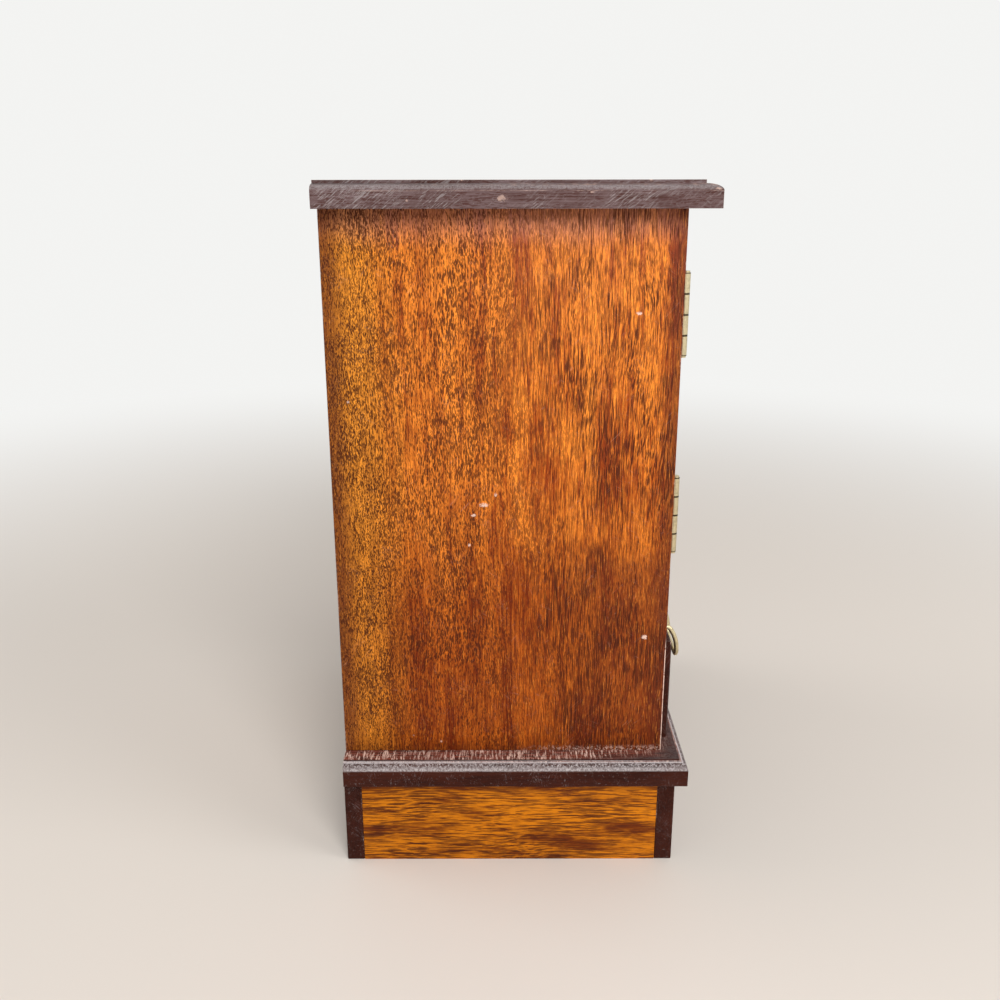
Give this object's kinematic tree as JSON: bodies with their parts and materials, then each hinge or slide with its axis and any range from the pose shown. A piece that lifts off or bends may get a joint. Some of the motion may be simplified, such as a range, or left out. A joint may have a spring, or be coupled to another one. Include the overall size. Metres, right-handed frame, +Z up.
{
  "type": "desktop cabinet",
  "caption": "Small tabletop cabinet with hinged doors over a drawer, a moulded top and base on a plinth, and swinging bail pulls.",
  "frame": {"origin": "centre of the whole cabinet's footprint, on the surface it stands on", "axes": "+Z up, the doors face -Y, +X to the right seen from the front"},
  "size_m": [0.1666, 0.121, 0.229],
  "materials": {
    "wood_dark": "dark stained and worn",
    "wood_red": "oiled, open pored",
    "wood_amber": "oiled",
    "wood_plain": "unfinished",
    "brass": "aged satin",
    "steel": "zinc plated"
  },
  "bodies": {
    "cabinet": {"top_board": "wood_dark", "base_board": "wood_dark", "left_side": "wood_red", "right_side": "wood_red", "back_panel": "wood_plain", "drawer_rail": "wood_dark", "dust_board": "wood_plain", "shelf": "wood_plain", "door_stop": "wood_plain", "plinth_front": "wood_dark", "plinth_back": "wood_dark", "plinth_left": "wood_amber", "plinth_right": "wood_amber", "plinth_blocks": "wood_plain", "drawer_stops": "wood_plain", "top_dowels": "wood_plain", "base_screws": "steel", "back_pins": "steel", "catch_magnets": "steel", "left_upper_hinge_plate": "brass", "left_lower_hinge_plate": "brass", "right_upper_hinge_plate": "brass", "right_lower_hinge_plate": "brass", "hinge_pins": "brass", "side_hinge_screws": "brass"},
    "left_door": {"left_door_hinge_stile": "wood_dark", "left_door_meeting_stile": "wood_dark", "left_door_top_rail": "wood_dark", "left_door_bottom_rail": "wood_dark", "left_door_panel": "wood_red", "left_upper_hinge_leaf": "brass", "left_lower_hinge_leaf": "brass", "left_door_hinge_screws": "brass", "left_door_knob": "brass", "left_door_knob_screw": "steel", "left_door_strike": "steel"},
    "right_door": {"right_door_hinge_stile": "wood_dark", "right_door_meeting_stile": "wood_dark", "right_door_top_rail": "wood_dark", "right_door_bottom_rail": "wood_dark", "right_door_panel": "wood_red", "right_upper_hinge_leaf": "brass", "right_lower_hinge_leaf": "brass", "right_door_hinge_screws": "brass", "right_door_knob": "brass", "right_door_knob_screw": "steel", "right_door_strike": "steel"},
    "drawer": {"drawer_front": "wood_dark", "drawer_left_side": "wood_plain", "drawer_right_side": "wood_plain", "drawer_back": "wood_plain", "drawer_bottom": "wood_plain", "left_pull_plate": "brass", "right_pull_plate": "brass", "left_pull_posts": "brass", "right_pull_posts": "brass", "pull_nuts": "steel"},
    "left_pull": {"left_bail": "brass"},
    "right_pull": {"right_bail": "brass"}
  },
  "joints": [
    {"name": "left_door_hinge", "type": "hinge", "parent": "cabinet", "child": "left_door", "pos_m": [-0.0686, -0.0503, 0], "axis": [0, 0, -1], "range_deg": [0, 180]},
    {"name": "right_door_hinge", "type": "hinge", "parent": "cabinet", "child": "right_door", "pos_m": [0.0686, -0.0503, 0], "axis": [0, 0, 1], "range_deg": [0, 180]},
    {"name": "drawer_slide", "type": "slide", "parent": "cabinet", "child": "drawer", "axis": [0, -1, 0], "range_m": [0, 0.085]},
    {"name": "left_pull_swing", "type": "hinge", "parent": "drawer", "child": "left_pull", "pos_m": [-0.0275, -0.05435, 0.0702], "axis": [-1, 0, 0], "range_deg": [0, 100]},
    {"name": "right_pull_swing", "type": "hinge", "parent": "drawer", "child": "right_pull", "pos_m": [0.0275, -0.05435, 0.0702], "axis": [-1, 0, 0], "range_deg": [0, 100]}
  ]
}
